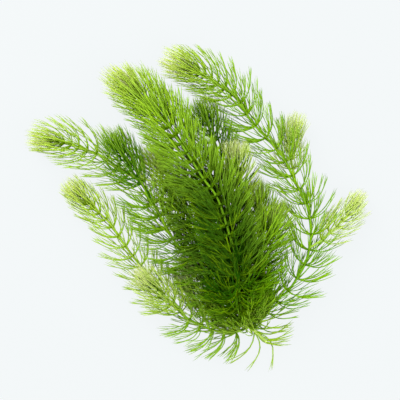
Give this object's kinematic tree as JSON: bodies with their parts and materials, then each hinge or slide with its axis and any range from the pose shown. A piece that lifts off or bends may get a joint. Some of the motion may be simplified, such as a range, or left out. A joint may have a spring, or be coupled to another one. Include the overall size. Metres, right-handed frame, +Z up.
{
  "type": "hornwort aquarium plant",
  "caption": "Cut sprig of branching water plant laid on its side, thin stems with dense whorls of needle leaves and brush-like shoot tips.",
  "frame": {"origin": "middle of the plant's bounding box in plan, on the surface it lies on", "axes": "+Z up from the surface, +Y from the cut foot towards the shoot tips, +X to the right seen from above"},
  "size_m": [0.2394, 0.2266, 0.0575],
  "materials": {
    "mid_green": "satin, fresh and moist, lets light through at the leaf ends",
    "deep_green": "satin, fresh and moist, darker for being crowded and young in the bud",
    "young_green": "satin, fresh and moist, pale yellow-green new growth"
  },
  "bodies": {
    "root": {"main_stem": "mid_green", "front_shoot": "mid_green", "right_stem": "mid_green", "right_arch_shoot": "mid_green", "left_stem": "mid_green", "left_long_shoot": "mid_green", "left_inner_shoot": "deep_green", "low_left_stem": "mid_green", "low_left_shoot": "mid_green", "low_left_side_shoot": "young_green", "right_side_shoot": "young_green", "back_centre_shoot": "deep_green", "centre_shoot": "young_green", "back_right_shoot": "young_green", "right_inner_shoot": "mid_green", "right_centre_shoot": "mid_green", "left_back_shoot": "mid_green", "small_left_shoot": "young_green", "small_low_shoot": "young_green"}
  },
  "joints": []
}
